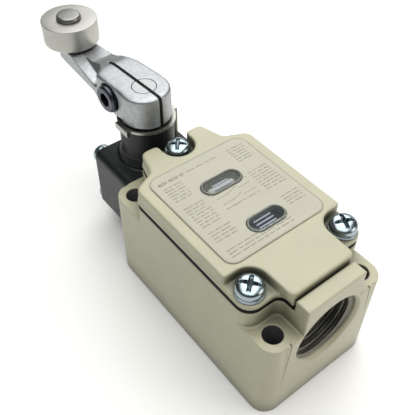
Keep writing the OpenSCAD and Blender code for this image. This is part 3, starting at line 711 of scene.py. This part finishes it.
def roller_set():
    """The roller, the pin whose head shows on top of it and the washer between it and the arm."""
    roller_low, roller_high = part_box("roller")
    pin_low, pin_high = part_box("roller_pin")
    washer_low, washer_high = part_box("roller_washer")
    roller_r = (roller_high.x - roller_low.x) / 2
    head_r = (pin_high.x - pin_low.x) / 2
    pin_r, foot_r, foot_t, washer_r = 2.5 * MM, 3.3 * MM, 4.9 * MM, 5.6 * MM
    axis = Matrix.Translation((roller_at.x, roller_at.y, 0))

    bore_r = pin_r + 0.05 * MM
    mesh = bmesh.new()
    lathe(mesh, rounded_profile([
        (bore_r, roller_low.z, 0), (roller_r, roller_low.z, 0.45 * MM),
        (roller_r, roller_high.z, 0.22 * MM), (bore_r, roller_high.z, 0.1 * MM)]), axis, 128)
    crisp(piece("turned_roller", mesh, "roller", "roller_steel", "roller"))

    foot_top, head_foot = washer_low.z - foot_t, roller_high.z + 0.06 * MM
    mesh = bmesh.new()
    lathe(mesh, rounded_profile([
        (0, pin_low.z, 0), (foot_r, pin_low.z, 0.4 * MM), (foot_r, foot_top, 0.1 * MM), (pin_r, foot_top, 0),
        (pin_r, head_foot, 0), (head_r - 0.25 * MM, head_foot, 0.1 * MM),
        (head_r, head_foot + 0.45 * MM, 0.2 * MM), (head_r - 0.35 * MM, pin_high.z - 0.06 * MM, 0.45 * MM),
        (0, pin_high.z, 0)]), axis)
    crisp(piece("domed_pin", mesh, "lever", "roller_steel", "roller_pin", look="pin_steel"))

    hole_r = pin_r + 0.03 * MM
    mesh = bmesh.new()
    lathe(mesh, rounded_profile([
        (hole_r, washer_low.z, 0), (washer_r, washer_low.z, 0.1 * MM),
        (washer_r, washer_high.z, 0.1 * MM), (hole_r, washer_high.z, 0)]), axis)
    crisp(piece("spacer_washer", mesh, "lever", "black_oxide", "roller_washer"))


roller_set()


# -------------------------------------------------------------------- screws

def recess_depth(x, y, radius, height):
    """Depth of a cross recess at a place on a screw head."""
    r = math.hypot(x, y) / radius
    fall = smooth_step((0.70 - r) / 0.10)
    depth = height * (0.30 + 0.75 * max(0, 1 - r / 0.5))
    half_w = 0.15 - 0.03 * min(1, r / 0.6)
    inside = max(smooth_step((half_w - abs(v) / radius) / 0.05 + 0.5) for v in (x, y))
    return depth * fall * max(inside, smooth_step((0.26 - r) / 0.08))


def pan_head(mesh, place, radius, height, shank_r, shank_l):
    """Adds to mesh a pan-head screw with a cross recess, its seat at the place's origin."""
    steps, rings, side, tip = 120, 34, 0.42 * height, 0.4 * MM
    circle = [Vector((math.cos(math.tau * i / steps), math.sin(math.tau * i / steps), 0))
              for i in range(steps)]
    loops = []
    for k in range(1, rings + 1):
        r = radius * 0.999 * k / rings
        z = side + (height - side) * (1 - (r / radius) ** 3.4) ** 0.5
        loops.append([mesh.verts.new(place @ Vector((
            r * c.x, r * c.y, z - recess_depth(r * c.x, r * c.y, radius, height)))) for c in circle])
    for r, z in ((radius, 0.3 * height), (radius, 0.1 * height), (radius * 0.97, 0), (shank_r, 0),
                 (shank_r, -shank_l + tip), (shank_r - tip, -shank_l)):
        loops.append([mesh.verts.new(place @ Vector((r * c.x, r * c.y, z))) for c in circle])
    crown = mesh.verts.new(place @ Vector((0, 0, height - recess_depth(0, 0, radius, height))))
    foot = mesh.verts.new(place @ Vector((0, 0, -shank_l)))
    for i in range(steps):
        j = (i + 1) % steps
        mesh.faces.new((crown, loops[0][i], loops[0][j]))
        mesh.faces.new((foot, loops[-1][j], loops[-1][i]))
        for inner, outer in zip(loops, loops[1:]):
            mesh.faces.new((inner[i], outer[i], outer[j], inner[j]))


def screw_places(node, seat, axis):
    """The middle of each separate screw in a CAD node, on its seat plane."""
    index = "XYZ".index(axis)
    heads = []
    for vertex in nodes[node].data.vertices:
        if vertex.co[index] < seat + 0.1 * MM:
            continue
        near = [h for h in heads if (h[0] / h[1] - vertex.co).length < 8 * MM]
        if near:
            near[0][0] += vertex.co
            near[0][1] += 1
        else:
            heads.append([vertex.co.copy(), 1])
    return [total / count for total, count in heads]


def cover_screws():
    """The three cover screws and the washers under their heads."""
    foot, seat = (corner.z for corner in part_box("cover_washers"))
    head_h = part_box("cover_screws")[1].z - seat
    hole_r, rim_r = 1.8 * MM, 3.85 * MM
    profile = rounded_profile([(hole_r, foot, 0), (rim_r, foot, 0.15 * MM), (rim_r, seat, 0.25 * MM),
                               (hole_r, seat, 0)])
    screws, washers = bmesh.new(), bmesh.new()
    places = sorted(screw_places("cover_screws", seat, "Z"), key=lambda p: (-p.y, p.x))
    for at, turn in zip(places, (51, 39, 66)):
        turned = Matrix.Rotation(math.radians(turn), 4, "Z")
        pan_head(screws, Matrix.Translation((at.x, at.y, seat)) @ turned, 3.7 * MM, head_h, 1.6 * MM, 10 * MM)
        lathe(washers, profile, Matrix.Translation((at.x, at.y, 0)), 72)
    crisp(piece("pan_head_cover_screws", screws, "case", "zinc_plate", "cover_screws"), 50)
    crisp(piece("turned_cover_washers", washers, "case", "zinc_plate", "cover_washers"), 40)


def head_screws():
    """The four screws that hold the head, their heads on its front."""
    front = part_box("head_block")[1].y
    head_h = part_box("head_screws")[1].y - front
    lie = Matrix.Rotation(math.radians(-90), 4, "X")
    mesh = bmesh.new()
    for turn, at in zip((20, 65, 35, 80), screw_places("head_screws", front, "Y")):
        place = Matrix.Translation((at.x, front, at.z)) @ lie @ Matrix.Rotation(math.radians(turn), 4, "Z")
        pan_head(mesh, place, 3.1 * MM, head_h, 1.4 * MM, 26 * MM)
    crisp(piece("pan_head_head_screws", mesh, "case", "zinc_plate", "head_screws"), 50)


cover_screws()
head_screws()


# ------------------------------------------------------ floor, light, view

SUBJECT = Vector((0.006, 0.030, 0.02))


def softbox(name, place, size, watts, colour=(1, 1, 1)):
    """A square softbox that faces the part."""
    lamp = bpy.data.lights.new(name, "AREA")
    lamp.shape = "RECTANGLE"
    lamp.size = lamp.size_y = size
    lamp.energy = watts
    lamp.color = colour
    holder = bpy.data.objects.new(name, lamp)
    bpy.context.scene.collection.objects.link(holder)
    holder.location = place
    holder.rotation_euler = (SUBJECT - holder.location).to_track_quat("-Z", "Y").to_euler()


softbox("back_key", (0.42, 0.38, 0.63), 0.7, 4.4)
softbox("overhead", (-0.10, -0.05, 0.75), 0.9, 6.2)
softbox("right_fill", (0.22, -0.26, 0.18), 0.2, 0.32, (1, 0.93, 0.88))

world = bpy.data.worlds.new("studio")
world.use_nodes = True
background = world.node_tree.nodes["Background"]
background.inputs["Color"].default_value = (0.9, 0.9, 0.85, 1)
background.inputs["Strength"].default_value = 0.05
bpy.context.scene.world = world
bpy.context.scene.view_settings.view_transform = "Standard"

ground = bmesh.new()
bmesh.ops.create_grid(ground, x_segments=8, y_segments=8, size=1.5)
floor_mesh = bpy.data.meshes.new("studio_floor")
ground.to_mesh(floor_mesh)
ground.free()
floor = bpy.data.objects.new("studio_floor", floor_mesh)
bpy.context.scene.collection.objects.link(floor)
floor.location.z = -0.02 * MM
floor_mesh.materials.append(shader("pale_sweep", (0.96, 0.96, 0.94), roughness=0.9)[0])

# The camera stands over the corner of the case that carries the conduit.
azimuth, elevation, roll = (math.radians(a) for a in (-38.929, 46.677, 0.949))
looks_at, distance = Vector((12.589, 30.380, 6.529)) * MM, 205.591 * MM
back = Vector((math.sin(azimuth) * math.cos(elevation), -math.cos(azimuth) * math.cos(elevation),
               math.sin(elevation)))
level_right = Vector((math.cos(azimuth), math.sin(azimuth), 0))
level_up = back.cross(level_right)
right = level_right * math.cos(roll) + level_up * math.sin(roll)
up = back.cross(right)
lens = bpy.data.cameras.new("camera")
lens.sensor_width = 36
lens.lens = 52.66
lens.clip_start = 0.01
camera = bpy.data.objects.new("camera", lens)
bpy.context.scene.collection.objects.link(camera)
camera.matrix_world = Matrix.Translation(looks_at + back * distance) @ Matrix(
    (right, up, back)).transposed().to_4x4()
bpy.context.scene.camera = camera
